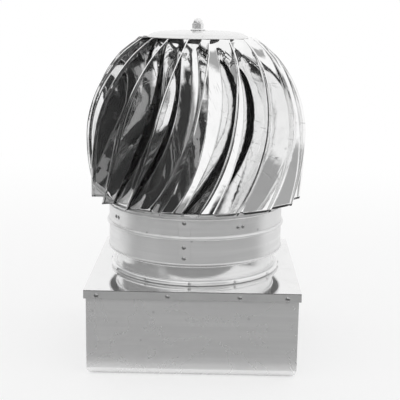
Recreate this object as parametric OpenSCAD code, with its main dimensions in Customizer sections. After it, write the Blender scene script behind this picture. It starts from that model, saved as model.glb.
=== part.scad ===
// Wind-driven rotating chimney cowl. A square box base carries a fixed round neck and a
// fixed upright spindle. The head turns on that spindle: a skirt over the neck, a ring,
// twisted vanes and a coned cap. Millimetres, +Z up, origin at the middle of the base.

/* [Base] */
// Side of the square lid
lid_side = 400; // [370:1:480]
// Height from the floor to the top of the lid
base_h = 166; // [110:1:220]
// Depth of the lid's turned-down flange
lid_flange = 16; // [12:1:26]
// Gap between the lid's flange and the wall of the box
lid_gap = 3; // [2:0.5:6]
// Radius of the curl along the bottom edges of the box
curl_r = 15; // [8:1:24]
// Width of the flat return inside the curl
return_w = 10; // [5:1:20]
// Sheet thickness of the base and the round parts
sheet = 1; // [0.8:0.1:1.5]

/* [Neck] */
// Outer radius of the fixed neck
neck_r = 158; // [120:1:165]
// Gap between the neck's rim and the spider above it
neck_gap = 8; // [5:1:20]
// Thickness of the roll round the foot of the neck
foot_roll = 10.5; // [7:0.5:14]
// Radius of the raised line round the neck
neck_bead_r = 2; // [1:0.25:3]
// Height of that line above the lid
neck_bead_z = 36; // [20:1:50]

/* [Skirt] */
// Gap between the neck and the inside of the skirt
skirt_gap = 13; // [10:1:20]
// Height of the skirt's lower rim above the lid
skirt_lift = 42; // [25:1:55]
// Height of the skirt
skirt_h = 87; // [70:1:110]
// Radius of the bead round the skirt
skirt_bead_r = 4; // [2:0.5:6]
// Height of the bead above the skirt's lower rim
skirt_bead_z = 51; // [40:1:56]
// Width of the skirt's lap seam
seam_w = 22; // [14:1:30]

/* [Head] */
// Radius over the widest point of the vanes
head_r = 216; // [190:1:260]
// Height of the vanes, from the ring to the carrier disc
cage_h = 317; // [260:1:400]
// Number of vanes
vane_count = 18; // [12:1:20]
// Sheet thickness of the vanes
vane_t = 0.8; // [0.6:0.1:1.2]
// How far the vanes' lower corners stand out past the ring
vane_overhang = 35; // [20:1:50]
// Rise of those corners above the ring
corner_rise = 9; // [4:1:16]
// Widest air gap between a vane's wing and the vane before it
air_gap = 12; // [6:1:18]
// Width of the folded hem along each vane's outer edge
hem_w = 6; // [4:0.5:9]
// Width of the flat part of the ring
ring_w = 26; // [20:1:34]
// Radius of the cap
cap_r = 98; // [85:1:120]
// Rise of the cap from its rim to the middle
cap_rise = 12; // [6:1:22]

/* [Spindle] */
// Radius of the fixed spindle
spindle_r = 6; // [5:0.5:8]
// Running clearance between the spindle and its bushes
running_fit = 0.05; // [0.02:0.01:0.09]
// Width of the spider's arms and of the bars that hold the spindle
bar_w = 25; // [20:1:32]
// Thickness of those bars
bar_t = 3; // [2:0.5:4]

/* [Hidden] */
$fn = 96;
LAP = 0.01;
CUT = 1;
STEEL = "gainsboro";
BRIGHT = "whitesmoke";
BRONZE = "darkkhaki";

// Base
box_side = lid_side - 2 * (sheet + lid_gap);
box_h = base_h - sheet;
lid_rivet_x = [-0.44, -0.1125, 0.2175, 0.4375] * lid_side;
lid_rivet_drop = 10;

// Fasteners
rivet_head_r = 4;
rivet_head_h = 1.6;
rivet_r = 2;
rivet_tail_r = 3;
rivet_tail_h = 2.4;
low_tail_h = 0.5;
small_rivet = 0.8;
tail_gap = 0.2;
nut_flats = 3.2 * spindle_r;
nut_corner_r = nut_flats / sqrt(3);
nut_h = 1.6 * spindle_r;
nut_chamfer = 1;
thread_end = 6;
axial_gap = 0.3;

// Skirt
skirt_in = neck_r + skirt_gap;
skirt_r = skirt_in + sheet;
skirt_bottom = base_h + skirt_lift;
skirt_top = skirt_bottom + skirt_h;
bead_z = skirt_bottom + skirt_bead_z;
rim_roll = 1.5;
seam_turn = -1.7;
seam_rivet_turn = -5.7;
seam_rivet_z = [skirt_bottom + 13, bead_z - 17, skirt_top - 7];

// Spider inside the skirt
spider_turn = 30.5;
spider_t = 2.5;
spider_tab = 16;
spider_rivet_z = (bead_z + skirt_bead_r + skirt_top) / 2 - 1;
spider_rivet_half = 5.3;
spider_z = spider_rivet_z - spider_tab / 2;
hub_r = 16;
hub_h = 11;
hub_z = spider_z + spider_t - hub_h;
bush_r = spindle_r + 4;
bush_flange_r = bush_r + 3;
bush_flange_t = 2;
bush_bore_r = spindle_r + running_fit;

// Neck
neck_top = spider_z - neck_gap;
neck_tail = 14;
neck_rim_r = 1.75;
foot_r = neck_r + foot_roll;
collar_turns = [-2:30:328];
collar_rivet_z = base_h + foot_roll / 2;

// Bars across the neck
bar_tab = 18;
bar_z = neck_top - 22;
bar_turn = 45;
bar_rivet_z = bar_z - bar_tab / 2;

// Ring under the vanes
ring_z = skirt_top + 4.5;
ring_in = skirt_r - ring_w;
ring_lip = 2.6;
ring_flange = ring_z - spider_rivet_z + 9.5;

// Vanes
vane_z0 = ring_z;
vane_z1 = ring_z + cage_h;
corner_r = skirt_r + vane_overhang;
inner_r0 = skirt_r - 4;
inner_r1 = cap_r - 10;
outer_r1 = cap_r + 15;
belly_at = 0.4;
belly_power = 0.78;
inner_power = 0.6;
turn_from = vane_z0 + 5;
mid_z = (turn_from + vane_z1) / 2;
half_z = (vane_z1 - turn_from) / 2;
outer_turn = [0.1, 10.1, -3, 4.9];
inner_turn = [-1.2, 16, -13.2, -3.2];
pitch = 360 / vane_count;
wing_bottom = 0.96;
wing_top = 0.78;
wing_lap = 0.17;
vane_rows = 14;
tab_u = [-0.85, -0.2];
tab_w = 13;
edge_tab_w = 2;
tab_hole_u = -0.5;
tab_hole_w = 7.5;

// Cap and top bearing
disc_z = vane_z1 + vane_t;
disc_t = 1.2;
disc_r = cap_r - sheet;
cap_z = disc_z + disc_t;
cap_hole_r = spindle_r + 3;
cap_flat_r = 16;
cap_top = cap_z + cap_rise;
housing_flange_r = 34;
housing_flange_t = 3.5;
housing_r = 16;
housing_bottom = disc_z - housing_flange_t;
housing_h = housing_flange_t + disc_t + 0.6 * cap_rise;
bolt_circle_r = 26;
bolt_r = 2.5;
bolt_hex_r = 1.7 * bolt_r;
bolt_head_h = 3;
bolt_nut_h = 2;
top_bush_bottom = housing_bottom - bush_flange_t;
washer_t = 1.8;
washer_z = top_bush_bottom - axial_gap - washer_t;
jam_nut_h = 0.7 * nut_h;
cone_washer_h = 3.4;
cone_washer_rim = 1;
cone_washer_r = 15;
cone_washer_z = cap_top + axial_gap;
dome_nut_z = cone_washer_z + cone_washer_h;
dome_nut_h = 3.3 * spindle_r;
dome_hex_h = 0.5 * dome_nut_h;
dome_r = nut_flats / 2 - 0.3;
spindle_bottom = bar_z - bar_t - nut_h - thread_end;
spindle_top = dome_nut_z + dome_nut_h - thread_end;

function vane_name(i) = str("vane_", i < 10 ? "0" : "", i);

// A box with a flat top and a quarter-round curl along each bottom edge
module curled_block(side, top, r, low) {
    intersection() {
        curled_bar(side, top, r, low);
        rotate([0, 0, 90]) curled_bar(side, top, r, low);
    }
}

module curled_bar(side, top, r, low) {
    rotate([90, 0, 0])
        linear_extrude(side, center = true) {
            translate([-side / 2, low + r]) square([side, top - low - r]);
            translate([-side / 2 + r, low]) square([side - 2 * r, r + LAP]);
            for (s = [-1, 1]) translate([s * (side / 2 - r), low + r]) circle(r);
        }
}

// Blind rivet, head outwards along +Z, with its sheets below
module rivet(grip, k = 1) {
    rotate_extrude() {
        dome_section(rivet_head_r * k, rivet_head_h * k);
        translate([0, -grip - rivet_tail_h * k])
            square([rivet_r * k, grip + rivet_tail_h * k + LAP]);
        translate([0, -grip - rivet_tail_h * k])
            square([rivet_tail_r * k, rivet_tail_h * k]);
    }
}

module dome_section(r, h) {
    ball = (r * r + h * h) / (2 * h);
    intersection() {
        translate([0, h - ball]) circle(ball);
        square([r, h]);
    }
}

// Round hole through what lies between two heights, cut a little longer at both ends
module bore(z, h, r) {
    translate([0, 0, z - CUT]) cylinder(h = h + 2 * CUT, r = r);
}

// Places children on a round wall, their +Z pointing outwards
module on_wall(turn, r, z) {
    rotate([0, 0, turn]) translate([0, -r, z]) rotate([90, 0, 0]) children();
}

module wall_hole(turn, r_in, r_out, z, r) {
    on_wall(turn, r_in, z) bore(0, r_out - r_in, r);
}

// The four sides of the base, seen from each side in turn
module each_side() {
    for (a = [0:90:270]) rotate([0, 0, a]) children();
}

module lid_rivet_places() {
    each_side()
        for (x = lid_rivet_x)
            translate([x, -lid_side / 2, base_h - lid_rivet_drop]) rotate([90, 0, 0]) children();
}

module base_box() {
    color(STEEL) difference() {
        curled_block(box_side, box_h, curl_r, 0);
        curled_block(box_side - 2 * sheet, box_h + CUT, curl_r - sheet, sheet);
        translate([0, 0, -CUT]) square_block(box_side - 2 * (curl_r + return_w), curl_r);
        lid_rivet_places() bore(-lid_gap - 2 * sheet, lid_gap + 2 * sheet, rivet_r);
    }
}

// Square block that stands on the middle of its lower face
module square_block(side, h) {
    translate([-side / 2, -side / 2, 0]) cube([side, side, h]);
}

module base_lid() {
    color(BRIGHT) difference() {
        translate([0, 0, base_h - lid_flange]) square_block(lid_side, lid_flange);
        translate([0, 0, base_h - lid_flange + sheet])
            square_block(lid_side - 2 * sheet, lid_flange - 2 * sheet);
        translate([0, 0, base_h - lid_flange - CUT]) square_block(box_side, sheet + 2 * CUT);
        bore(base_h - sheet, sheet, neck_r);
        lid_rivet_places() bore(-sheet, sheet, rivet_r);
    }
}

module lid_rivets() {
    color(STEEL) lid_rivet_places() rivet(lid_gap + 2 * sheet);
}

// Neck: pipe with a turned-out tail under the lid, a raised line and a rolled rim
module neck() {
    color(BRIGHT) difference() {
        rotate_extrude() {
            translate([neck_r - sheet, base_h - sheet - neck_tail])
                square([sheet, neck_top - base_h + neck_tail + sheet - neck_rim_r]);
            translate([neck_r - neck_rim_r, neck_top - neck_rim_r]) ring_section(neck_rim_r, 0.8 * sheet);
            translate([neck_r - sheet / 2, base_h + neck_bead_z]) intersection() {
                circle(neck_bead_r + sheet / 2);
                translate([0, -neck_bead_z]) square([neck_r, 2 * neck_bead_z]);
            }
        }
        for (a = [0:90:270]) wall_hole(a + bar_turn, neck_r - sheet, neck_r, bar_rivet_z, rivet_r);
        for (a = collar_turns)
            wall_hole(a, neck_r - sheet, neck_r, collar_rivet_z, rivet_r * small_rivet);
    }
}

// Hollow roll of sheet, cut through its middle
module ring_section(r, wall) {
    difference() {
        circle(r);
        circle(r - wall);
    }
}

module foot_collar() {
    color(BRIGHT) difference() {
        rotate_extrude() difference() {
            collar_outline(foot_roll, foot_roll, 0);
            collar_outline(foot_roll - sheet, foot_roll - 2 * sheet, sheet);
        }
        for (a = collar_turns) wall_hole(a, neck_r, foot_r, collar_rivet_z, rivet_r * small_rivet);
    }
}

// Half-round band that stands on the lid against the neck
module collar_outline(w, h, low) {
    translate([neck_r, base_h + low]) square([w - h / 2, h]);
    translate([neck_r + w - h / 2, base_h + low + h / 2]) circle(h / 2);
}

module collar_rivets() {
    color(STEEL) for (a = collar_turns)
        on_wall(a, foot_r, collar_rivet_z) rivet(foot_roll + sheet, small_rivet);
}

// Flat bar across a round wall, with tabs that follow the wall
module wall_bar(turn, r, z, t, tab, tab_t, up) {
    rotate([0, 0, turn]) intersection() {
        union() {
            translate([-bar_w / 2, -r, z]) cube([bar_w, 2 * r, t]);
            difference() {
                translate([-bar_w / 2, -r, up ? z : z + t - tab]) cube([bar_w, 2 * r, tab]);
                bore(z - tab, 2 * tab + t, r - tab_t);
            }
        }
        bore(z - tab, 2 * tab + t, r);
    }
}

module lower_bar() {
    color(STEEL) difference() {
        wall_bar(bar_turn, neck_r - sheet, bar_z - bar_t, bar_t, bar_tab, bar_t, false);
        bore(bar_z - bar_t, bar_t, spindle_r);
        for (a = [0, 180]) wall_hole(a + bar_turn, neck_r - sheet - bar_t, neck_r, bar_rivet_z, rivet_r);
    }
}

module upper_bar() {
    color(STEEL) difference() {
        wall_bar(bar_turn + 90, neck_r - sheet, bar_z, bar_t, bar_tab + bar_t, bar_t, false);
        bore(bar_z, bar_t, spindle_r);
        for (a = [90, 270]) wall_hole(a + bar_turn, neck_r - sheet - bar_t, neck_r, bar_rivet_z, rivet_r);
    }
}

module bar_rivets() {
    color(STEEL) for (a = [0:90:270])
        on_wall(a + bar_turn, neck_r, bar_rivet_z) rivet(bar_t + sheet + tail_gap);
}

module spindle() {
    color(STEEL) {
        translate([0, 0, spindle_bottom])
            cylinder(h = spindle_top - spindle_bottom - nut_chamfer, r = spindle_r);
        translate([0, 0, spindle_top - nut_chamfer - LAP])
            cylinder(h = nut_chamfer + LAP, r1 = spindle_r, r2 = spindle_r - nut_chamfer);
    }
}

// Hexagonal bar with its corners turned off at both ends
module hex_bar(h) {
    intersection() {
        cylinder(h = h, r = nut_corner_r, $fn = 6);
        rotate_extrude() polygon([
            [0, 0], [nut_flats / 2, 0], [nut_corner_r, nut_chamfer],
            [nut_corner_r, h - nut_chamfer], [nut_flats / 2, h], [0, h]]);
    }
}

module hex_nut(z, h) {
    translate([0, 0, z]) difference() {
        hex_bar(h);
        bore(0, h, spindle_r);
    }
}

module bar_nuts() {
    color(BRIGHT) {
        hex_nut(bar_z - bar_t - nut_h, nut_h);
        hex_nut(bar_z + bar_t, nut_h);
    }
}

module support_nuts() {
    color(BRIGHT) {
        hex_nut(washer_z - nut_h, nut_h);
        hex_nut(washer_z - nut_h - jam_nut_h, jam_nut_h);
    }
}

module thrust_washer() {
    color(BRIGHT) translate([0, 0, washer_z]) difference() {
        cylinder(h = washer_t, r = bush_flange_r);
        bore(0, washer_t, spindle_r);
    }
}

// Coned washer that sheds rain from the hole in the cap
module cone_washer() {
    color(BRIGHT) translate([0, 0, cone_washer_z]) rotate_extrude() polygon([
        [spindle_r, 0], [cone_washer_r, 0], [cone_washer_r, cone_washer_rim],
        [nut_flats / 2 + cone_washer_rim, cone_washer_h], [spindle_r, cone_washer_h]]);
}

module dome_nut() {
    color(BRIGHT) translate([0, 0, dome_nut_z]) difference() {
        union() {
            hex_bar(dome_hex_h);
            translate([0, 0, dome_hex_h - LAP])
                cylinder(h = dome_nut_h - dome_hex_h - dome_r + 2 * LAP, r = dome_r);
            translate([0, 0, dome_nut_h - dome_r]) rotate_extrude() intersection() {
                circle(dome_r);
                square(dome_r);
            }
        }
        translate([0, 0, -CUT]) cylinder(h = spindle_top - dome_nut_z + CUT, r = spindle_r);
    }
}

// Skirt: sheet wall with rolled rims, a bead and a riveted lap seam
module skirt() {
    color(BRIGHT) difference() {
        union() {
            rotate_extrude() {
                translate([skirt_in, skirt_bottom + rim_roll]) square([sheet, skirt_h - 2 * rim_roll]);
                for (z = [skirt_bottom + rim_roll, skirt_top - rim_roll])
                    translate([skirt_in + rim_roll, z]) circle(rim_roll);
                translate([skirt_r, bead_z]) intersection() {
                    circle(skirt_bead_r);
                    translate([-LAP, -skirt_bead_r]) square(2 * skirt_bead_r);
                }
            }
            lap_strip(skirt_bottom + 2 * rim_roll, bead_z - skirt_bead_r);
            lap_strip(bead_z + skirt_bead_r, skirt_top - 2 * rim_roll);
        }
        rotate_extrude() translate([skirt_in - sheet, bead_z]) circle(skirt_bead_r);
        for (z = seam_rivet_z) wall_hole(seam_rivet_turn, skirt_in, skirt_r + sheet, z, rivet_r);
        spider_rivet_places() bore(-sheet, sheet, rivet_r);
    }
}

// Second layer of sheet at the seam between two heights, on the left of the seam line
module lap_strip(z0, z1) {
    rotate([0, 0, seam_turn]) intersection() {
        translate([-seam_w, -skirt_r - sheet, z0]) cube([seam_w, skirt_r, z1 - z0]);
        translate([0, 0, z0]) difference() {
            cylinder(h = z1 - z0, r = skirt_r + sheet);
            bore(0, z1 - z0, skirt_r - LAP);
        }
    }
}

module seam_rivets() {
    color(STEEL) for (z = seam_rivet_z)
        on_wall(seam_rivet_turn, skirt_r + sheet, z) rivet(2 * sheet + tail_gap);
}

module spider_rivet_places() {
    for (a = [0:90:270])
        rotate([0, 0, a + spider_turn])
            for (s = [-1, 1])
                translate([s * spider_rivet_half, -skirt_r, spider_rivet_z])
                    rotate([90, 0, 0]) children();
}

module spider() {
    r = skirt_in - sheet;
    color(STEEL) difference() {
        union() {
            for (a = [0, 90])
                wall_bar(spider_turn + a, r, spider_z, spider_t, spider_tab, spider_t, true);
            translate([0, 0, hub_z]) cylinder(h = hub_h, r = hub_r);
        }
        bore(hub_z, hub_h, bush_r);
        spider_rivet_places() bore(-4 * spider_t, 4 * spider_t, rivet_r);
    }
}

module spider_rivets() {
    color(STEEL) spider_rivet_places() rivet(2 * sheet + spider_t + tail_gap);
}

module flanged_bush(z, h) {
    translate([0, 0, z]) difference() {
        union() {
            cylinder(h = h, r = bush_r);
            cylinder(h = bush_flange_t, r = bush_flange_r);
        }
        bore(0, h, bush_bore_r);
    }
}

module lower_bush() {
    color(BRONZE) flanged_bush(hub_z - bush_flange_t, hub_h + bush_flange_t);
}

// Flat ring that carries the vanes, with a flange down inside the skirt
module cage_ring() {
    color(BRIGHT) difference() {
        rotate_extrude() {
            translate([ring_in, ring_z - sheet]) square([ring_w, sheet]);
            translate([skirt_r - sheet, ring_z - ring_lip]) square([sheet, ring_lip]);
            translate([skirt_in - sheet, ring_z - ring_flange]) square([sheet, ring_flange]);
        }
        spider_rivet_places() bore(-2 * sheet, sheet, rivet_r);
        wall_hole(seam_rivet_turn, skirt_in - sheet, skirt_in, seam_rivet_z[2], rivet_tail_r + sheet);
        ring_rivet_places() bore(-sheet, sheet, rivet_r * small_rivet);
    }
}

module ring_rivet_places() {
    for (i = [1:vane_count])
        rotate([0, 0, i * pitch]) translate([bottom_hole[0], bottom_hole[1], ring_z]) children();
}

module ring_rivets() {
    color(STEEL) ring_rivet_places() translate([0, 0, vane_t]) rivet(vane_t + sheet, small_rivet);
}

// Edges of a vane. A turn is measured from the front, positive to the right.
function polar(r, turn, z) = [r * sin(turn), -r * cos(turn), z];
function cubic(c, s) = c[0] + c[1] * s + c[2] * s * s + c[3] * s * s * s;
function share(z) = (z - mid_z) / half_z;
belly_z = vane_z0 + belly_at * (vane_z1 - vane_z0);
function above(z) = (z - belly_z) / (vane_z1 - belly_z);
function below(z) = (belly_z - z) / (belly_z - vane_z0 - corner_rise);
function outer_radius(z) = z > belly_z
    ? outer_r1 + (head_r - outer_r1) * pow(max(0, 1 - above(z) * above(z)), belly_power)
    : head_r - (head_r - corner_r) * below(z) * below(z);
function inner_radius(z) = inner_r1
    + (inner_r0 - inner_r1) * pow(max(0, vane_z1 - z) / (vane_z1 - vane_z0), inner_power);
function outer_edge(v) = let (z = vane_z0 + corner_rise + (vane_z1 - vane_z0 - corner_rise) * v)
    polar(outer_radius(z), cubic(outer_turn, share(z)), z);

// Middle surface of the sheet. v runs from bottom to top. u runs from the crease, at 0,
// to the outer edge, at 1, and from -1 to 0 across the wing that closes the ball inside.
function unit(a) = a / norm(a);
function quarter_turn(d) = unit([-d[1], d[0], 0]);
function swell(v) = 4 * v * (1 - v);
function wing_span(v) = pitch * (wing_bottom + (wing_top - wing_bottom) * v + wing_lap * swell(v));
function wing(u, v) =
    let (z = vane_z0 + (vane_z1 - vane_z0) * v)
    polar(inner_radius(z) + u * air_gap * swell(v), cubic(inner_turn, share(z)) + u * wing_span(v), z);
seat_u = (skirt_r - inner_r0) / (corner_r - inner_r0);
function seat_drop(u, v) = v > 0 || u < 0 ? 0 : corner_rise * (u - max(0, u - seat_u) / (1 - seat_u));
function on_vane(u, v) = [0, 0, vane_t / 2 - seat_drop(u, v)]
    + (u < 0 ? wing(u, v) : wing(0, v) * (1 - u) + outer_edge(v) * u);
function across(u, v) =
    let (blade = quarter_turn(outer_edge(v) - wing(0, v)),
         inwards = quarter_turn(wing(u, v) - wing(u - 0.01, v)))
    u < 0 ? inwards : u > 0 ? blade : unit(blade + inwards);
function tab_width(u) = u < tab_u[0] || u > tab_u[1] ? edge_tab_w : tab_w;
function tab_point(u, v, w) = on_vane(u, v) + across(u, v) * w;

vane_width = norm(outer_edge(0.5) - wing(0, 0.5));
hem_u = 1 - hem_w / vane_width;
columns = [-1, tab_u[0], (tab_u[0] + tab_u[1]) / 2, tab_u[1], 0,
           seat_u, (seat_u + hem_u) / 2, hem_u, hem_u + 0.01, 1];
thick = [for (u = columns) u > hem_u ? 2 * vane_t : vane_t];
grid = concat(
    [[for (u = columns) tab_point(u, 0, tab_width(u))]],
    [for (i = [0:vane_rows]) [for (u = columns) on_vane(u, i / vane_rows)]],
    [[for (u = columns) tab_point(u, 1, tab_width(u))]]);
function facing(i, j) =
    unit(cross(grid[i + 1][j + 1] - grid[i][j], grid[i + 1][j] - grid[i][j + 1]));
last_i = len(grid) - 1;
last_j = len(columns) - 1;
function near(i, n) = [for (k = [i - 1, i]) if (k >= 0 && k < n) k];
function sum(list, i = 0) = i == len(list) - 1 ? list[i] : list[i] + sum(list, i + 1);
function normal(i, j) =
    let (faces = [for (a = near(i, last_i)) for (b = near(j, last_j)) facing(a, b)],
         n = unit(sum(faces)))
    n / max([for (f = faces) n * f]);
function skin(i, j, side) = grid[i][j] + normal(i, j) * thick[j] / 2 * side;
function at(i, j, side) = (side > 0 ? 0 : (last_i + 1) * (last_j + 1)) + i * (last_j + 1) + j;

// The two skins of the sheet and its four edges
function patch(a, b, c, d) = [[a, b, c], [a, c, d]];
vane_points = [for (side = [1, -1]) for (i = [0:last_i]) for (j = [0:last_j]) skin(i, j, side)];
vane_faces = concat(
    [for (i = [0:last_i - 1]) for (j = [0:last_j - 1]) for (f = concat(
        patch(at(i, j, 1), at(i + 1, j, 1), at(i + 1, j + 1, 1), at(i, j + 1, 1)),
        patch(at(i, j + 1, -1), at(i + 1, j + 1, -1), at(i + 1, j, -1), at(i, j, -1)))) f],
    [for (i = [0:last_i - 1]) for (f = concat(
        patch(at(i, 0, -1), at(i + 1, 0, -1), at(i + 1, 0, 1), at(i, 0, 1)),
        patch(at(i, last_j, 1), at(i + 1, last_j, 1), at(i + 1, last_j, -1), at(i, last_j, -1)))) f],
    [for (j = [0:last_j - 1]) for (f = concat(
        patch(at(0, j, 1), at(0, j + 1, 1), at(0, j + 1, -1), at(0, j, -1)),
        patch(at(last_i, j, -1), at(last_i, j + 1, -1), at(last_i, j + 1, 1), at(last_i, j, 1)))) f]);
bottom_hole = tab_point(tab_hole_u, 0, tab_hole_w);
top_hole = tab_point(tab_hole_u, 1, tab_hole_w);

// One vane of twisted sheet, with a tab on the ring and a tab under the carrier disc
module vane(i) {
    color(BRIGHT) rotate([0, 0, i * pitch]) difference() {
        polyhedron(vane_points, vane_faces);
        for (p = [bottom_hole, top_hole])
            translate([p[0], p[1], 0]) bore(p[2] - vane_t, 2 * vane_t, rivet_r * small_rivet);
    }
}

module carrier_disc() {
    color(STEEL) translate([0, 0, disc_z]) difference() {
        cylinder(h = disc_t, r = disc_r);
        bore(0, disc_t, housing_r);
        for (i = [1:vane_count])
            rotate([0, 0, i * pitch]) translate([top_hole[0], top_hole[1], 0])
                bore(0, disc_t, rivet_r * small_rivet);
        housing_bolt_places() bore(0, disc_t, bolt_r);
    }
}

// Heads under the tabs, tails above the disc
module carrier_rivets() {
    color(STEEL)
        for (i = [1:vane_count])
            rotate([0, 0, i * pitch]) translate([top_hole[0], top_hole[1], disc_z - vane_t])
                rotate([180, 0, 0]) low_rivet(vane_t + disc_t);
}

// Small rivet with a flattened tail
module low_rivet(grip) {
    rotate_extrude() {
        dome_section(rivet_head_r * small_rivet, rivet_head_h * small_rivet);
        translate([0, -grip - low_tail_h]) square([rivet_r * small_rivet, grip + low_tail_h + LAP]);
        translate([0, -grip - low_tail_h]) square([rivet_tail_r * small_rivet, low_tail_h]);
    }
}

module housing_bolt_places() {
    for (a = [45:90:315]) rotate([0, 0, a]) translate([bolt_circle_r, 0, 0]) children();
}

// Turned housing under the cap that holds the upper bush
module bearing_housing() {
    color(STEEL) translate([0, 0, housing_bottom]) difference() {
        union() {
            cylinder(h = housing_flange_t, r = housing_flange_r);
            cylinder(h = housing_h, r = housing_r);
        }
        bore(0, housing_h, bush_r);
        housing_bolt_places() bore(0, housing_flange_t, bolt_r);
    }
}

module housing_bolts() {
    grip = housing_flange_t + disc_t;
    color(BRIGHT) housing_bolt_places() translate([0, 0, housing_bottom]) {
        translate([0, 0, -bolt_head_h]) cylinder(h = bolt_head_h, r = bolt_hex_r, $fn = 6);
        translate([0, 0, -LAP]) cylinder(h = grip + bolt_nut_h + 0.5 + LAP, r = bolt_r);
        translate([0, 0, grip]) cylinder(h = bolt_nut_h, r = bolt_hex_r, $fn = 6);
    }
}

module top_bush() {
    color(BRONZE) flanged_bush(top_bush_bottom, bush_flange_t + housing_h);
}

// Coned cap of sheet with a folded rim, standing on the carrier disc
module cap_cone(r, z) {
    polygon([[0, z], [r, z], [cap_flat_r, z + cap_rise], [0, z + cap_rise]]);
}

module top_cap() {
    color(BRIGHT) rotate_extrude() difference() {
        union() {
            cap_cone(cap_r, cap_z);
            translate([0, cap_z - disc_t]) square([cap_r, disc_t + LAP]);
        }
        intersection() {
            translate([0, -sheet]) cap_cone(cap_r, cap_z);
            square([disc_r, 2 * cap_z]);
        }
        translate([0, cap_z - disc_t - CUT]) square([disc_r, disc_t + CUT]);
        square([cap_hole_r, 2 * cap_z]);
    }
}

base_box();
base_lid();
lid_rivets();
neck();
foot_collar();
collar_rivets();
lower_bar();
upper_bar();
bar_rivets();
spindle();
bar_nuts();
support_nuts();
thrust_washer();
cone_washer();
dome_nut();
skirt();
seam_rivets();
spider();
spider_rivets();
lower_bush();
cage_ring();
ring_rivets();
carrier_disc();
carrier_rivets();
bearing_housing();
housing_bolts();
top_bush();
top_cap();
for (i = [1:vane_count])
    vane(i);
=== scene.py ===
"""Finishes of a rotating chimney cowl: polished and satin sheet steel, rivets, nuts and a studio."""

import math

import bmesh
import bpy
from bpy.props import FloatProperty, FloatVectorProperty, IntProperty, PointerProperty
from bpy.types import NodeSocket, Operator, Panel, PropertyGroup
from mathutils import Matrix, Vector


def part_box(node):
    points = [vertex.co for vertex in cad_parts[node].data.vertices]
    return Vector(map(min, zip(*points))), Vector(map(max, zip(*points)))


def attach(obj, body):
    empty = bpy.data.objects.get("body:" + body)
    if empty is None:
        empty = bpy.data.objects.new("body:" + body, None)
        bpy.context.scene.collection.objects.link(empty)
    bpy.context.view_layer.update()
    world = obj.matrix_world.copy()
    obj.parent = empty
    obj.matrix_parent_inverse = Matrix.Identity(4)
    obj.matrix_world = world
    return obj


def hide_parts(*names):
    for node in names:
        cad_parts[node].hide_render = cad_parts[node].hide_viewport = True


bl_info = {
    "name": "Chimney Cowl Finishes",
    "version": (1, 0, 0),
    "blender": (4, 5, 0),
    "location": "3D View > Sidebar > Cowl",
    "description": "Gives a rotating chimney cowl its sheet steel finishes, small parts and studio",
    "category": "Object",
}

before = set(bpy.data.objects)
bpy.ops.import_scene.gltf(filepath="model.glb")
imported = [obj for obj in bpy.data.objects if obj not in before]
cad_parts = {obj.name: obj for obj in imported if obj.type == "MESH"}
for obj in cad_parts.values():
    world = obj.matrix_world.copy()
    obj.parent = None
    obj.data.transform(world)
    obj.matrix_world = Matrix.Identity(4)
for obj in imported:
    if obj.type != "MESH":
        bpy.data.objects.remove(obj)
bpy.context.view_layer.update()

VANES = sorted(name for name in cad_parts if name.startswith("vane_"))
RIVETS = ("lid_rivets", "seam_rivets", "spider_rivets", "bar_rivets", "collar_rivets",
          "ring_rivets", "carrier_rivets")

# Distances at which points are merged, in metres
WELD = 1e-6
VANE_WELD = 1e-5

# Angles in radians: two triangles that make one face, a bend that stays sharp
FLAT = math.radians(40)
ANY_SHAPE = math.radians(180)
SHARP = math.radians(25)

# Heights in metres: the painted highlight band at the foot of the box, and the threads of the spindle
HIGHLIGHT_STRIP_TOP = 0.0155
HIGHLIGHT_STRIP_FULL = 0.0135
LOW_THREAD_TOP = 0.262
HIGH_THREAD_BOTTOM = 0.6
THREAD_RUNOUT = 0.002

# The lid is polished from just under its top, in metres below it
POLISH_START = 0.0025
POLISH_FULL = 0.0005

# Depths of surface marks in metres
SCRATCH_DEPTH = 0.00004
PIT_DEPTH = 0.0001
SHEET_DENTS = 0.0004
FINE_GRAIN = 0.00002

# Width in millimetres of the sensor that the lens is given for
SENSOR_WIDTH = 36


class CowlVaneSettings(PropertyGroup):
    """Finish of the mirror polished vanes and the cap."""

    brightness: FloatProperty(
        name="Brightness", description="How much light the polished sheet gives back",
        default=0.95, min=0.2, max=1.0, subtype="FACTOR",
    )
    gloss: FloatProperty(
        name="Roughness", description="Roughness of a clean mirror polished vane",
        default=0.03, min=0.0, max=1.0, subtype="FACTOR",
    )
    smudge: FloatProperty(
        name="Smudges", description="Extra roughness where the vanes were handled",
        default=0.1, min=0.0, max=1.0, subtype="FACTOR",
    )
    dent_depth: FloatProperty(
        name="Dent depth", description="Height of the shallow waves left in the sheet",
        default=0.0012, min=0.0, max=0.01, subtype="DISTANCE", unit="LENGTH",
    )
    dent_size: FloatProperty(
        name="Dent fineness", description="Number of dents to a metre",
        default=14.0, min=1.0, max=60.0,
    )
    smoothness: IntProperty(
        name="Smoothness", description="Times that each face of a vane is divided",
        default=2, min=0, max=3,
    )
    cap_gloss: FloatProperty(
        name="Cap roughness", description="Roughness of the cap sheet",
        default=0.22, min=0.0, max=1.0, subtype="FACTOR",
    )
    cap_sheet: FloatProperty(
        name="Cap sheet", description="Thickness of the cap sheet",
        default=0.001, min=0.0004, max=0.003, subtype="DISTANCE", unit="LENGTH",
    )


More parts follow.
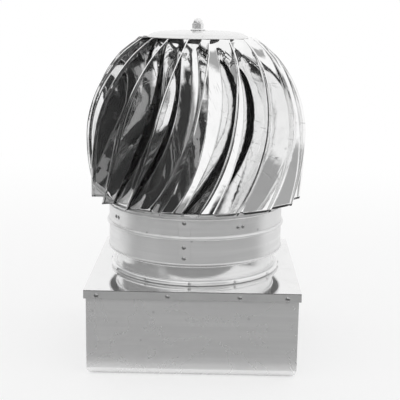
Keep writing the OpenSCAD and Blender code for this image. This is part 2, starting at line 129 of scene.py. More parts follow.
class CowlSheetSettings(PropertyGroup):
    """Finish of the base, the neck and the skirt."""

    brightness: FloatProperty(
        name="Brightness", description="How much light the rolled sheet gives back",
        default=0.82, min=0.2, max=1.0, subtype="FACTOR",
    )
    lid_gloss: FloatProperty(
        name="Lid roughness", description="Roughness of the polished lid",
        default=0.07, min=0.0, max=1.0, subtype="FACTOR",
    )
    box_gloss: FloatProperty(
        name="Box roughness", description="Roughness of the brushed box",
        default=0.27, min=0.0, max=1.0, subtype="FACTOR",
    )
    skirt_gloss: FloatProperty(
        name="Skirt roughness", description="Roughness of the rolled skirt and ring",
        default=0.28, min=0.0, max=1.0, subtype="FACTOR",
    )
    neck_gloss: FloatProperty(
        name="Neck roughness", description="Roughness of the polished neck and its foot",
        default=0.14, min=0.0, max=1.0, subtype="FACTOR",
    )


class CowlSmallPartSettings(PropertyGroup):
    """Sizes of the rivet pins, the pitch of the spindle's thread, and the colour of the bushes."""

    pin_radius: FloatProperty(
        name="Pin radius", description="Radius of the broken-off pin in a blind rivet",
        default=0.0009, min=0.0002, max=0.003, subtype="DISTANCE", unit="LENGTH",
    )
    pin_length: FloatProperty(
        name="Pin length", description="Length of the pin's stub, half of it in the rivet's head",
        default=0.0016, min=0.0004, max=0.005, subtype="DISTANCE", unit="LENGTH",
    )
    thread_pitch: FloatProperty(
        name="Thread pitch", description="Distance between the threads of the spindle",
        default=0.00175, min=0.0005, max=0.004, subtype="DISTANCE", unit="LENGTH",
    )
    bronze: FloatVectorProperty(
        name="Bronze", description="Colour of the two bushes",
        default=(0.55, 0.36, 0.16), min=0.0, max=1.0, subtype="COLOR",
    )


class CowlStageSettings(PropertyGroup):
    """Camera and floor of the studio."""

    camera_place: FloatVectorProperty(
        name="Camera place", description="Where the camera stands",
        default=(0.033966, -1.830550, 0.691296), subtype="TRANSLATION", unit="LENGTH",
    )
    camera_pitch: FloatProperty(
        name="Camera pitch", description="How far the camera looks down",
        default=math.radians(12.205), subtype="ANGLE", unit="ROTATION",
    )
    camera_yaw: FloatProperty(
        name="Camera yaw", description="How far the camera turns to the right",
        default=math.radians(-0.785), subtype="ANGLE", unit="ROTATION",
    )
    camera_roll: FloatProperty(
        name="Camera roll", description="How far the camera leans",
        default=math.radians(0.85), subtype="ANGLE", unit="ROTATION",
    )
    lens: FloatProperty(
        name="Lens", description="Focal length in millimetres on a 36 mm sensor",
        default=83.97, min=20, max=200,
    )
    floor_size: FloatProperty(
        name="Floor size", description="Half the width of the floor",
        default=12.0, min=2.0, max=50.0, subtype="DISTANCE", unit="LENGTH",
    )


def add_node(tree, kind, **settings):
    """Adds a node and sets its attributes."""
    node = tree.nodes.new(kind)
    for key, value in settings.items():
        setattr(node, key, value)
    return node


def feed(tree, socket, value):
    """Links an output to a socket, or writes a plain value into it."""
    if isinstance(value, NodeSocket):
        tree.links.new(value, socket)
    else:
        socket.default_value = value


def maths(tree, operation, *values):
    """Adds a Math node over the given values."""
    node = add_node(tree, "ShaderNodeMath", operation=operation)
    for socket, value in zip(node.inputs, values):
        feed(tree, socket, value)
    return node.outputs[0]


def ramp(tree, value, start, end, low=0.0, high=1.0):
    """Turns a value smoothly from low at start to high at end."""
    node = add_node(tree, "ShaderNodeMapRange", interpolation_type="SMOOTHSTEP")
    for name, given in (("Value", value), ("From Min", start), ("From Max", end),
                        ("To Min", low), ("To Max", high)):
        feed(tree, node.inputs[name], given)
    return node.outputs["Result"]


def blend_values(tree, factor, first, second):
    """Mixes two numbers."""
    node = add_node(tree, "ShaderNodeMix", data_type="FLOAT")
    feed(tree, node.inputs[0], factor)
    feed(tree, node.inputs[2], first)
    feed(tree, node.inputs[3], second)
    return node.outputs[0]


def blend_colours(tree, factor, first, second):
    """Mixes two colours."""
    node = add_node(tree, "ShaderNodeMix", data_type="RGBA")
    feed(tree, node.inputs[0], factor)
    feed(tree, node.inputs[6], first)
    feed(tree, node.inputs[7], second)
    return node.outputs[2]


def noise(tree, place, scale, detail=2.0, roughness=0.5, distortion=0.0):
    """Adds a Noise texture and gives back its value."""
    node = add_node(tree, "ShaderNodeTexNoise")
    feed(tree, node.inputs["Vector"], place)
    for name, given in (("Scale", scale), ("Detail", detail), ("Roughness", roughness),
                        ("Distortion", distortion)):
        feed(tree, node.inputs[name], given)
    return node.outputs["Fac"]


def split(tree, vector):
    """Gives back the three parts of a vector."""
    node = add_node(tree, "ShaderNodeSeparateXYZ")
    feed(tree, node.inputs[0], vector)
    return node.outputs["X"], node.outputs["Y"], node.outputs["Z"]


def join(tree, x, y, z):
    """Makes a vector of three numbers."""
    node = add_node(tree, "ShaderNodeCombineXYZ")
    for socket, value in zip(node.inputs, (x, y, z)):
        feed(tree, socket, value)
    return node.outputs[0]


def axis_distance(tree, x, y):
    """Gives back how far a point or a direction lies from the upright axis."""
    squares = [maths(tree, "MULTIPLY", part, part) for part in (x, y)]
    return maths(tree, "SQRT", maths(tree, "ADD", *squares))


def start_group(name, inputs, outputs):
    """Starts a node group and returns it with its inner inputs and outputs."""
    group = bpy.data.node_groups.new(name, "ShaderNodeTree")
    for label, kind, value in inputs:
        socket = group.interface.new_socket(label, in_out="INPUT", socket_type=kind)
        if value is not None:
            socket.default_value = value
    for label, kind in outputs:
        group.interface.new_socket(label, in_out="OUTPUT", socket_type=kind)
    entry = add_node(group, "NodeGroupInput")
    leave = add_node(group, "NodeGroupOutput")
    return group, entry.outputs, leave.inputs


def place_group(tree, name, build, **values):
    """Puts a shared group into a tree, building it on its first use."""
    group = bpy.data.node_groups.get(name) or build()
    node = add_node(tree, "ShaderNodeGroup", node_tree=group)
    for label, value in values.items():
        feed(tree, node.inputs[label], value)
    return node.outputs


def build_round_place():
    """Coordinates unrolled round the upright axis: length round, radius, height."""
    group, given, out = start_group(
        "Round_Place", [("Place", "NodeSocketVector", None), ("Radius", "NodeSocketFloat", 0.17)],
        [("Unrolled", "NodeSocketVector")])
    x, y, z = split(group, given["Place"])
    turn = maths(group, "ARCTAN2", y, x)
    length_round = maths(group, "MULTIPLY", turn, given["Radius"])
    feed(group, out["Unrolled"], join(group, length_round, axis_distance(group, x, y), z))
    return group


def build_rolling_grain():
    """Fine lines that the rolls and brushes left along the first axis."""
    group, given, out = start_group(
        "Rolling_Grain",
        [("Place", "NodeSocketVector", None), ("Length", "NodeSocketFloat", 25.0),
         ("Fineness", "NodeSocketFloat", 900.0)],
        [("Height", "NodeSocketFloat"), ("Tone", "NodeSocketFloat")])
    along, side, up = split(group, given["Place"])
    stretched = join(group, maths(group, "MULTIPLY", along, given["Length"]),
                     maths(group, "MULTIPLY", side, given["Fineness"]),
                     maths(group, "MULTIPLY", up, given["Fineness"]))
    fine = noise(group, stretched, scale=1.0, detail=3.0, roughness=0.6)
    wide = noise(group, stretched, scale=0.13)
    feed(group, out["Height"], maths(group, "ADD", maths(group, "MULTIPLY", fine, 0.7),
                                     maths(group, "MULTIPLY", wide, 0.3)))
    feed(group, out["Tone"], ramp(group, wide, 0.35, 0.65))
    return group


def build_sheet_waves():
    """Shallow dents and waves of thin sheet that was bent by hand."""
    group, given, out = start_group(
        "Sheet_Waves", [("Place", "NodeSocketVector", None), ("Size", "NodeSocketFloat", 12.0)],
        [("Height", "NodeSocketFloat")])
    broad = noise(group, given["Place"], given["Size"], detail=1.0, roughness=0.4)
    closer = maths(group, "MULTIPLY", given["Size"], 4.3)
    close = noise(group, given["Place"], closer, detail=1.5, distortion=0.4)
    feed(group, out["Height"], maths(group, "ADD", broad, maths(group, "MULTIPLY", close, 0.12)))
    return group


def build_handling_marks():
    """Smudges from hands and cloths, and fine scratches across them."""
    group, given, out = start_group(
        "Handling_Marks", [("Place", "NodeSocketVector", None), ("Size", "NodeSocketFloat", 14.0)],
        [("Smudge", "NodeSocketFloat"), ("Scratch", "NodeSocketFloat")])
    cloud = noise(group, given["Place"], given["Size"], detail=5.0, roughness=0.62, distortion=0.6)
    feed(group, out["Smudge"], ramp(group, cloud, 0.45, 0.72))
    along, side, up = split(group, given["Place"])
    # Scratches are long and thin, lean a little, and come in patches
    slant = maths(group, "ADD", along, maths(group, "MULTIPLY", up, 0.45))
    slanted = join(group, maths(group, "MULTIPLY", slant, 620.0),
                   maths(group, "MULTIPLY", side, 30.0), maths(group, "MULTIPLY", up, 16.0))
    line = noise(group, slanted, scale=1.0, detail=1.0)
    patch = noise(group, given["Place"], scale=22.0, detail=1.0)
    feed(group, out["Scratch"], maths(group, "MULTIPLY", ramp(group, line, 0.68, 0.74),
                                      ramp(group, patch, 0.5, 0.62)))
    return group


def build_spots():
    """Small dull spots, such as dried drops and zinc specks."""
    group, given, out = start_group(
        "Dull_Spots", [("Place", "NodeSocketVector", None), ("Number", "NodeSocketFloat", 60.0)],
        [("Spot", "NodeSocketFloat")])
    cell = add_node(group, "ShaderNodeTexVoronoi")
    feed(group, cell.inputs["Vector"], given["Place"])
    feed(group, cell.inputs["Scale"], given["Number"])
    # About one cell in five has a spot at its middle
    chosen = ramp(group, split(group, cell.outputs["Color"])[0], 0.8, 0.84)
    inside = ramp(group, cell.outputs["Distance"], 0.16, 0.06)
    feed(group, out["Spot"], maths(group, "MULTIPLY", inside, chosen))
    return group


def build_studio_walls():
    """Brightness of the studio by direction, as the polished sheet shows it."""
    group, given, out = start_group(
        "Studio_Walls", [("Direction", "NodeSocketVector", None)], [("Level", "NodeSocketFloat")])
    x, y, z = split(group, given["Direction"])
    flat = maths(group, "MAXIMUM", axis_distance(group, x, y), 0.001)
    side = maths(group, "DIVIDE", x, flat)
    facing = maths(group, "DIVIDE", maths(group, "MULTIPLY", y, -1.0), flat)
    # The wall behind the camera, over a dark foot that rises to both sides
    aside = ramp(group, maths(group, "ABSOLUTE", maths(group, "SUBTRACT", side, 0.03)), 0.15, 0.3)
    skyline = maths(group, "SUBTRACT", z, maths(group, "MULTIPLY", aside, 0.14))
    front = ramp(group, skyline, 0.05, 0.13, 0.03, 1.0)
    # A grey part higher up, that ends before the dark wall and before the zenith
    ceiling = maths(group, "MULTIPLY", ramp(group, z, 0.42, 0.5), ramp(group, z, 0.8, 0.72))
    ceiling = maths(group, "MULTIPLY", ceiling, ramp(group, side, -0.25, -0.05))
    front = blend_values(group, ceiling, front, 0.4)
    # The dark wall on the left, the bright one on the right, and the white back
    left = ramp(group, z, 0.42, 0.55, 0.006, 0.95)
    right = ramp(group, z, -0.08, 0.0, 0.03, 1.0)
    level = blend_values(group, ramp(group, side, -0.5, -0.64), front, left)
    level = blend_values(group, ramp(group, side, 0.66, 0.8), level, right)
    level = blend_values(group, ramp(group, facing, -0.5, -0.75), level, 1.0)
    # Lit panels here and there in the dark parts
    shard = add_node(group, "ShaderNodeTexVoronoi", distance="CHEBYCHEV")
    feed(group, shard.inputs["Vector"], given["Direction"])
    feed(group, shard.inputs["Scale"], 5.0)
    lamp = ramp(group, split(group, shard.outputs["Color"])[0], 0.8, 0.82, 0.0, 0.3)
    feed(group, out["Level"], maths(group, "MAXIMUM", level, lamp))
    return group


def start_metal(name, value, roughness, bare=1.0):
    """Starts a metal material and returns it with its tree, its shader and its object coordinates."""
    material = bpy.data.materials.new(name)
    material.use_nodes = True
    tree = material.node_tree
    tree.nodes.clear()
    shader = add_node(tree, "ShaderNodeBsdfPrincipled")
    shader.inputs["Base Color"].default_value = (value, value, value, 1)
    shader.inputs["Metallic"].default_value = bare
    shader.inputs["Roughness"].default_value = roughness
    output = add_node(tree, "ShaderNodeOutputMaterial")
    tree.links.new(shader.outputs["BSDF"], output.inputs["Surface"])
    place = add_node(tree, "ShaderNodeTexCoord").outputs["Object"]
    return material, tree, shader, place


def raise_surface(tree, shader, height, distance, normal=None):
    """Adds a Bump node before the shader and returns its normal."""
    bump = add_node(tree, "ShaderNodeBump")
    bump.inputs["Distance"].default_value = distance
    bump.inputs["Strength"].default_value = 1.0
    feed(tree, bump.inputs["Height"], height)
    if normal is not None:
        feed(tree, bump.inputs["Normal"], normal)
    feed(tree, shader.inputs["Normal"], bump.outputs["Normal"])
    return bump.outputs["Normal"]


def grey(value):
    """Makes a colour of one number."""
    return (value, value, value, 1.0)


def find_shader(tree):
    """Gives back the shader of a finished material."""
    return next(node for node in tree.nodes if node.type == "BSDF_PRINCIPLED")


def height_mask(tree, start, end, low=0.0, high=1.0):
    """Goes smoothly from low at one height to high at another."""
    place = add_node(tree, "ShaderNodeTexCoord").outputs["Object"]
    return ramp(tree, split(tree, place)[2], start, end, low, high)


def polished_sheet(name, value, roughness, smudge, dents, dent_size, bare):
    """Mirror polished sheet with shallow dents, smudges and fine scratches."""
    material, tree, shader, place = start_metal(name, value, roughness, bare)
    unrolled = place_group(tree, "Round_Place", build_round_place, Place=place)["Unrolled"]
    marks = place_group(tree, "Handling_Marks", build_handling_marks, Place=unrolled)
    spots = place_group(tree, "Dull_Spots", build_spots, Place=unrolled)
    waves = place_group(tree, "Sheet_Waves", build_sheet_waves, Place=place, Size=dent_size)
    dull = maths(tree, "MAXIMUM", maths(tree, "MULTIPLY", marks["Smudge"], 0.6), spots["Spot"])
    feed(tree, shader.inputs["Roughness"], ramp(tree, dull, 0.0, 1.0, roughness, roughness + smudge))
    tone = blend_colours(tree, dull, grey(value), grey(value * 0.9))
    scratched = blend_colours(tree, marks["Scratch"], tone, grey(value * 0.75))
    feed(tree, shader.inputs["Base Color"], scratched)
    normal = raise_surface(tree, shader, waves["Height"], dents)
    raise_surface(tree, shader, marks["Scratch"], SCRATCH_DEPTH, normal)
    return material


def rolled_sheet(name, value, roughness, depth, bare, round_wall=True, dents=SHEET_DENTS):
    """Satin sheet with rolling lines, a little cloudiness and dull spots."""
    material, tree, shader, place = start_metal(name, value, roughness, bare)
    if round_wall:
        grain_place = place_group(tree, "Round_Place", build_round_place, Place=place)["Unrolled"]
    else:
        x, y, z = split(tree, place)
        grain_place = join(tree, maths(tree, "ADD", x, y), 0.0, z)
    grain = place_group(tree, "Rolling_Grain", build_rolling_grain, Place=grain_place)
    marks = place_group(tree, "Handling_Marks", build_handling_marks, Place=grain_place, Size=9.0)
    spots = place_group(tree, "Dull_Spots", build_spots, Place=grain_place, Number=45.0)
    waves = place_group(tree, "Sheet_Waves", build_sheet_waves, Place=place, Size=7.0)
    # Smudges, rolling lines and spots are each a little darker than the clean sheet
    cloud = blend_colours(tree, marks["Smudge"], grey(value), grey(value * 0.86))
    lined = blend_colours(tree, grain["Tone"], cloud, grey(value * 0.93))
    feed(tree, shader.inputs["Base Color"], blend_colours(tree, spots["Spot"], lined, grey(value * 0.7)))
    feed(tree, shader.inputs["Roughness"],
         ramp(tree, marks["Smudge"], 0.0, 1.0, roughness, roughness * 1.25 + 0.02))
    normal = raise_surface(tree, shader, waves["Height"], dents)
    raise_surface(tree, shader, grain["Height"], depth, normal)
    return material


def plain_steel(name, value, roughness, colour=None, bare=0.9):
    """Mill steel of the inner parts, cloudy and a little pitted."""
    material, tree, shader, place = start_metal(name, value, roughness, bare)
    marks = place_group(tree, "Handling_Marks", build_handling_marks, Place=place, Size=30.0)
    spots = place_group(tree, "Dull_Spots", build_spots, Place=place, Number=160.0)
    clean = (*colour, 1.0) if colour else grey(value)
    worn = tuple(part * 0.7 for part in clean[:3]) + (1.0,)
    feed(tree, shader.inputs["Base Color"], blend_colours(tree, marks["Smudge"], clean, worn))
    feed(tree, shader.inputs["Roughness"],
         ramp(tree, marks["Smudge"], 0.0, 1.0, roughness, roughness + 0.15))
    raise_surface(tree, shader, spots["Spot"], -PIT_DEPTH)
    return material


def threaded_steel(name, value, roughness, pitch, low, high):
    """Turned steel of the spindle, threaded near its two ends."""
    material, tree, shader, place = start_metal(name, value, roughness)
    x, y, z = split(tree, place)
    turn = maths(tree, "DIVIDE", maths(tree, "ARCTAN2", y, x), 2 * math.pi)
    climb = maths(tree, "FRACT", maths(tree, "ADD", maths(tree, "DIVIDE", z, pitch), turn))
    groove = maths(tree, "ABSOLUTE", maths(tree, "SUBTRACT", climb, 0.5))
    ends = maths(tree, "MAXIMUM", ramp(tree, z, low, low - THREAD_RUNOUT),
                 ramp(tree, z, high, high + THREAD_RUNOUT))
    height = maths(tree, "MULTIPLY", groove, ends)
    marks = place_group(tree, "Handling_Marks", build_handling_marks, Place=place, Size=30.0)
    feed(tree, shader.inputs["Roughness"],
         ramp(tree, marks["Smudge"], 0.0, 1.0, roughness, roughness + 0.12))
    feed(tree, shader.inputs["Base Color"],
         blend_colours(tree, maths(tree, "MULTIPLY", height, 1.6), grey(value), grey(value * 0.45)))
    raise_surface(tree, shader, height, pitch)
    return material


def dress(names, material):
    """Gives a material to CAD nodes."""
    for name in names:
        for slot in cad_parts[name].material_slots:
            slot.material = material


def finish_piece(name, bm, material, body):
    """Makes an object of a bmesh, with its material, on the body that carries it."""
    mesh = bpy.data.meshes.new(name)
    bm.to_mesh(mesh)
    bm.free()
    mesh.materials.append(material)
    piece = bpy.data.objects.new(name, mesh)
    bpy.context.collection.objects.link(piece)
    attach(piece, body)
    return piece


def rivet_heads(name):
    """Finds the top of each rivet head of a CAD node, and the way it points."""
    bm = bmesh.new()
    bm.from_mesh(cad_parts[name].data)
    bmesh.ops.remove_doubles(bm, verts=bm.verts, dist=WELD)
    left = set(bm.verts)
    heads = []
    for seed in bm.verts:
        if seed not in left:
            continue
        left.remove(seed)
        todo = [seed]
        points = []
        while todo:
            vert = todo.pop()
            points.append(vert.co.copy())
            for edge in vert.link_edges:
                other = edge.other_vert(vert)
                if other in left:
                    left.remove(other)
                    todo.append(other)
        middle = sum(points, Vector()) / len(points)
        outwards = Vector((middle.x, middle.y, 0))
        if name == "lid_rivets" and abs(middle.x) > abs(middle.y):
            outwards.y = 0
        elif name == "lid_rivets":
            outwards.x = 0
        outwards.normalize()
        reach = max((point - middle).dot(outwards) for point in points)
        heads.append((middle + outwards * reach, outwards))
    bm.free()
    return heads


class COWL_OT_vanes(Operator):
    """Replace the vanes by smooth mirror polished ones"""

    bl_idname = "cowl.vanes"
    bl_label = "Vanes"

    def execute(self, context):
        vane = context.scene.cowl_vane
        material = polished_sheet("Vane_Sheet", vane.brightness, vane.gloss, vane.smudge,
                                  vane.dent_depth, vane.dent_size, bare=0.985)
        for name in VANES:
            bm = bmesh.new()
            bm.from_mesh(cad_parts[name].data)
            bmesh.ops.remove_doubles(bm, verts=bm.verts, dist=VANE_WELD)
            bmesh.ops.join_triangles(bm, faces=bm.faces, angle_face_threshold=FLAT,
                                     angle_shape_threshold=ANY_SHAPE)
            crease = bm.edges.layers.float.new("crease_edge")
            for edge in bm.edges:
                if len(edge.link_faces) != 2 or edge.calc_face_angle(0) > SHARP:
                    edge[crease] = 1.0
            for face in bm.faces:
                face.smooth = True
                face.material_index = 0
            piece = finish_piece(name.replace("vane", "Vane"), bm, material, "head")
            smooth = piece.modifiers.new("Smooth", "SUBSURF")
            smooth.levels = vane.smoothness
            smooth.render_levels = vane.smoothness
            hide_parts(name)
        return {"FINISHED"}


class COWL_OT_cap(Operator):
    """Replace the cap by a spun one with a round shoulder"""

    bl_idname = "cowl.cap"
    bl_label = "Cap"

    def execute(self, context):
        vane = context.scene.cowl_vane
        material = rolled_sheet("Cap_Sheet", value=0.86, roughness=vane.cap_gloss,
                                depth=FINE_GRAIN, bare=0.8)
        low, high = (Vector(corner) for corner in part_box("top_cap"))
        rim = high.x
        # Radius of each point of the outside, and how far it lies below the top
        fall = [(0.009, 0.0), (0.016, 0.0), (rim - 0.045, 0.0012), (rim - 0.022, 0.0028),
                (rim - 0.011, 0.0052), (rim - 0.0035, 0.0092), (rim, 0.0122), (rim, high.z - low.z)]
        outside = [Vector((r, 0, high.z - drop)) for r, drop in fall]
        bore = outside[0].x
        inside = [Vector((max(r - vane.cap_sheet, bore), 0, z - vane.cap_sheet))
                  for r, _, z in reversed(outside[:-1])]
        bottom = Vector((rim - vane.cap_sheet, 0, low.z))
        bm = bmesh.new()
        ring = [bm.verts.new(point) for point in (*outside, bottom, *inside)]
        edges = [bm.edges.new(pair) for pair in zip(ring, ring[1:] + ring[:1])]
        bmesh.ops.spin(bm, geom=ring + edges, cent=(0, 0, 0), axis=(0, 0, 1), angle=math.tau,
                       steps=96, use_merge=True)
        bmesh.ops.remove_doubles(bm, verts=bm.verts, dist=WELD)
        bmesh.ops.recalc_face_normals(bm, faces=bm.faces)
        for face in bm.faces:
            face.smooth = True
        for edge in bm.edges:
            if edge.is_manifold and edge.calc_face_angle(0) > FLAT:
                edge.smooth = False
        piece = finish_piece("Cap", bm, material, "head")
        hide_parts("top_cap")
        return {"FINISHED"}


class COWL_OT_skirt(Operator):
    """Dress the skirt and the ring that carries the vanes"""

    bl_idname = "cowl.skirt"
    bl_label = "Skirt"

    def execute(self, context):
        sheet = context.scene.cowl_sheet
        dress(["skirt", "cage_ring"],
              rolled_sheet("Skirt_Sheet", sheet.brightness, sheet.skirt_gloss,
                           depth=0.00003, bare=0.45))
        return {"FINISHED"}


class COWL_OT_neck(Operator):
    """Dress the neck and the rolled foot round it"""

    bl_idname = "cowl.neck"
    bl_label = "Neck"

    def execute(self, context):
        sheet = context.scene.cowl_sheet
        dress(["neck", "foot_collar"],
              rolled_sheet("Neck_Sheet", value=0.93, roughness=sheet.neck_gloss,
                           depth=FINE_GRAIN, bare=0.6, dents=0.001))
        return {"FINISHED"}


class COWL_OT_base(Operator):
    """Dress the box and its lid"""

    bl_idname = "cowl.base"
    bl_label = "Base"

    def execute(self, context):
        sheet = context.scene.cowl_sheet
        lid = polished_sheet("Lid_Sheet", value=0.86, roughness=sheet.lid_gloss, smudge=0.12,
                             dents=SHEET_DENTS, dent_size=6.0, bare=0.85)
        self.brushed_flange(lid.node_tree)
        dress(["base_lid"], lid)
        box = rolled_sheet("Box_Sheet", sheet.brightness, sheet.box_gloss,
                           depth=0.00004, bare=0.5, round_wall=False)
        self.paint_foot_highlight(box.node_tree)
        dress(["base_box"], box)
        return {"FINISHED"}

    def brushed_flange(self, tree):
        """Leaves the turned-down flange of the lid less polished than its top."""
        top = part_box("base_lid")[1][2]
        bare = height_mask(tree, top - POLISH_START, top - POLISH_FULL, 0.6, 0.85)
        feed(tree, find_shader(tree).inputs["Metallic"], bare)

    def paint_foot_highlight(self, tree):
        """Paints a highlight into the colour of a band along the foot of the box, standing in for the
        pale floor that its rolled edge reflects.
        """
        foot_highlight = height_mask(tree, HIGHLIGHT_STRIP_TOP, HIGHLIGHT_STRIP_FULL)
        socket = find_shader(tree).inputs["Base Color"]
        # Painted highlight: the band's base colour goes to near white
        feed(tree, socket, blend_colours(tree, foot_highlight, socket.links[0].from_socket, grey(0.97)))


class COWL_OT_spindle(Operator):
    """Dress the spindle, the bars, the spider and the bearings"""

    bl_idname = "cowl.spindle"
    bl_label = "Spindle and bearings"

    def execute(self, context):
        small = context.scene.cowl_small
        dress(["lower_bar", "upper_bar", "spider", "carrier_disc", "bearing_housing"],
              plain_steel("Inner_Steel", value=0.5, roughness=0.35))
        dress(["spindle"],
              threaded_steel("Spindle_Steel", value=0.62, roughness=0.25, pitch=small.thread_pitch,
                             low=LOW_THREAD_TOP, high=HIGH_THREAD_BOTTOM))
        dress(["lower_bush", "top_bush"],
              plain_steel("Bush_Bronze", value=0.4, roughness=0.3, colour=small.bronze))
        return {"FINISHED"}


class COWL_OT_fasteners(Operator):
    """Dress the nuts, washers and rivets, and put a pin into each rivet of the lid, the seam and the
    spider
    """

    bl_idname = "cowl.fasteners"
    bl_label = "Fasteners"

    def execute(self, context):
        zinc = plain_steel("Zinc_Fasteners", value=0.92, roughness=0.2, bare=0.6)
        dress(["bar_nuts", "support_nuts", "thrust_washer", "cone_washer", "dome_nut",
               "housing_bolts"], zinc)
        dress(RIVETS, plain_steel("Rivet_Alloy", value=0.6, roughness=0.3))
        pin_steel = plain_steel("Pin_Steel", value=0.45, roughness=0.4)
        small = context.scene.cowl_small
        for name, body in (("lid_rivets", "base"), ("seam_rivets", "head"), ("spider_rivets", "head")):
            bm = bmesh.new()
            for place, outwards in rivet_heads(name):
                self.pin(bm, place, outwards, small)
            label = name.replace("rivets", "rivet_pins").capitalize()
            piece = finish_piece(label, bm, pin_steel, body)
        return {"FINISHED"}

    def pin(self, bm, place, outwards, small):
        """Adds the round-ended stub of the pin that a blind rivet was pulled tight with."""
        radius = small.pin_radius
        turned = Vector((0, 0, 1)).rotation_difference(outwards).to_matrix().to_4x4()
        stub = bmesh.ops.create_cone(bm, cap_ends=True, segments=12, radius1=radius,
                                     radius2=radius * 0.9, depth=small.pin_length,
                                     matrix=Matrix.Translation(place) @ turned)
        # Each edge once, in an order that doesn't change from run to run
        end = dict.fromkeys(e for v in stub["verts"] for e in v.link_edges
                            if all((w.co - place).dot(outwards) > 0 for w in e.verts))
        bmesh.ops.bevel(bm, geom=list(end), offset=radius * 0.4, segments=2, profile=0.5,
                        affect="EDGES", material=-1)


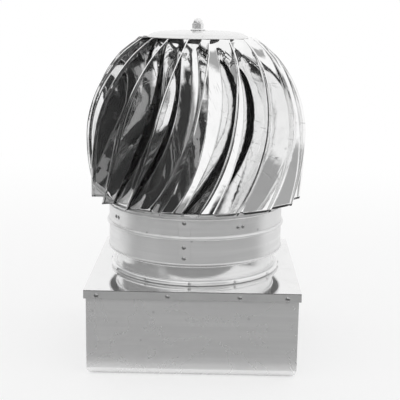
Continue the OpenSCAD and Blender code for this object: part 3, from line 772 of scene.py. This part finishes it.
class COWL_OT_stage(Operator):
    """Set up the camera, the floor and the light"""

    bl_idname = "cowl.stage"
    bl_label = "Studio"

    def execute(self, context):
        stage = context.scene.cowl_stage
        self.camera(context, stage)
        self.floor(context, stage)
        self.world(context)
        context.scene.view_settings.view_transform = "Standard"
        return {"FINISHED"}

    def camera(self, context, stage):
        """Puts the camera where the photograph was taken from."""
        data = bpy.data.cameras.new("Camera")
        data.lens = stage.lens
        data.sensor_width = SENSOR_WIDTH
        camera = bpy.data.objects.new("Camera", data)
        context.collection.objects.link(camera)
        level = Matrix.Rotation(math.radians(90) - stage.camera_pitch, 4, "X")
        turned = Matrix.Rotation(-stage.camera_yaw, 4, "Z") @ level
        leaned = turned @ Matrix.Rotation(stage.camera_roll, 4, "Z")
        camera.matrix_world = Matrix.Translation(Vector(stage.camera_place)) @ leaned
        context.scene.camera = camera

    def floor(self, context, stage):
        """Lays a wide pale floor under the object."""
        bm = bmesh.new()
        bmesh.ops.create_grid(bm, x_segments=1, y_segments=1, size=stage.floor_size)
        mesh = bpy.data.meshes.new("Floor")
        bm.to_mesh(mesh)
        bm.free()
        floor = bpy.data.objects.new("Floor", mesh)
        context.collection.objects.link(floor)
        mesh.materials.append(self.floor_paint())

    def floor_paint(self):
        """Pale paint that fades to white for the camera; polished sheet shows dark tiles in front."""
        material = bpy.data.materials.new("Floor_Paint")
        material.use_nodes = True
        tree = material.node_tree
        tree.nodes.clear()
        rays = add_node(tree, "ShaderNodeLightPath")
        place = add_node(tree, "ShaderNodeTexCoord").outputs["Object"]
        x, y, z = split(tree, place)
        away = maths(tree, "MAXIMUM", maths(tree, "ABSOLUTE", x), maths(tree, "ABSOLUTE", y))
        # Dark for reflections only, from a hand's breadth before the box
        dark = maths(tree, "MULTIPLY", ramp(tree, away, 0.225, 0.28), ramp(tree, y, 0.2, -0.2))
        dark = maths(tree, "MULTIPLY", dark, rays.outputs["Is Glossy Ray"])
        tile = add_node(tree, "ShaderNodeTexVoronoi", voronoi_dimensions="2D", distance="CHEBYCHEV")
        feed(tree, tile.inputs["Vector"], place)
        feed(tree, tile.inputs["Scale"], 4.0)
        light_tile = ramp(tree, split(tree, tile.outputs["Color"])[0], 0.72, 0.76)
        far_floor = blend_colours(tree, light_tile, grey(0.025), grey(0.2))
        paint = add_node(tree, "ShaderNodeBsdfDiffuse")
        feed(tree, paint.inputs["Color"], blend_colours(tree, dark, grey(0.88), far_floor))
        white = add_node(tree, "ShaderNodeEmission")
        mixed = add_node(tree, "ShaderNodeMixShader")
        # The camera sees the shadow close by, and plain white farther off
        clear = ramp(tree, away, 0.5, 2.2, 0.55, 1.0)
        feed(tree, mixed.inputs[0], maths(tree, "MULTIPLY", rays.outputs["Is Camera Ray"], clear))
        tree.links.new(paint.outputs[0], mixed.inputs[1])
        tree.links.new(white.outputs[0], mixed.inputs[2])
        output = add_node(tree, "ShaderNodeOutputMaterial")
        tree.links.new(mixed.outputs[0], output.inputs["Surface"])
        return material

    def world(self, context):
        """White for the camera, even soft light for plain surfaces, studio walls for reflections."""
        world = bpy.data.worlds.new("Studio")
        world.use_nodes = True
        context.scene.world = world
        tree = world.node_tree
        tree.nodes.clear()
        direction = add_node(tree, "ShaderNodeTexCoord").outputs["Generated"]
        walls = place_group(tree, "Studio_Walls", build_studio_walls, Direction=direction)["Level"]
        rays = add_node(tree, "ShaderNodeLightPath")
        mirrored = maths(tree, "MAXIMUM", rays.outputs["Is Glossy Ray"],
                         rays.outputs["Is Transmission Ray"])
        background = add_node(tree, "ShaderNodeBackground")
        feed(tree, background.inputs["Color"], blend_values(tree, mirrored, 1.0, walls))
        output = add_node(tree, "ShaderNodeOutputWorld")
        tree.links.new(background.outputs[0], output.inputs["Surface"])


class COWL_PT_panel(Panel):
    """Lists the finishing steps"""

    bl_label = "Cowl"
    bl_idname = "COWL_PT_panel"
    bl_space_type = "VIEW_3D"
    bl_region_type = "UI"
    bl_category = "Cowl"

    def draw(self, context):
        for step in STEPS:
            self.layout.operator(step.bl_idname)


STEPS = (COWL_OT_stage, COWL_OT_vanes, COWL_OT_cap, COWL_OT_skirt, COWL_OT_neck, COWL_OT_base,
         COWL_OT_spindle, COWL_OT_fasteners)
SETTINGS = (
    ("cowl_vane", CowlVaneSettings),
    ("cowl_sheet", CowlSheetSettings),
    ("cowl_small", CowlSmallPartSettings),
    ("cowl_stage", CowlStageSettings),
)


def register():
    """Registers the classes and the scene's settings."""
    for name, cls in SETTINGS:
        bpy.utils.register_class(cls)
        setattr(bpy.types.Scene, name, PointerProperty(type=cls))
    for cls in (*STEPS, COWL_PT_panel):
        bpy.utils.register_class(cls)


def unregister():
    """Removes the classes and the settings."""
    for cls in (COWL_PT_panel, *reversed(STEPS)):
        bpy.utils.unregister_class(cls)
    for name, cls in reversed(SETTINGS):
        delattr(bpy.types.Scene, name)
        bpy.utils.unregister_class(cls)


def main():
    """Runs every step."""
    register()
    bpy.ops.cowl.stage()
    bpy.ops.cowl.vanes()
    bpy.ops.cowl.cap()
    bpy.ops.cowl.skirt()
    bpy.ops.cowl.neck()
    bpy.ops.cowl.base()
    bpy.ops.cowl.spindle()
    bpy.ops.cowl.fasteners()


if __name__ == "__main__":
    main()
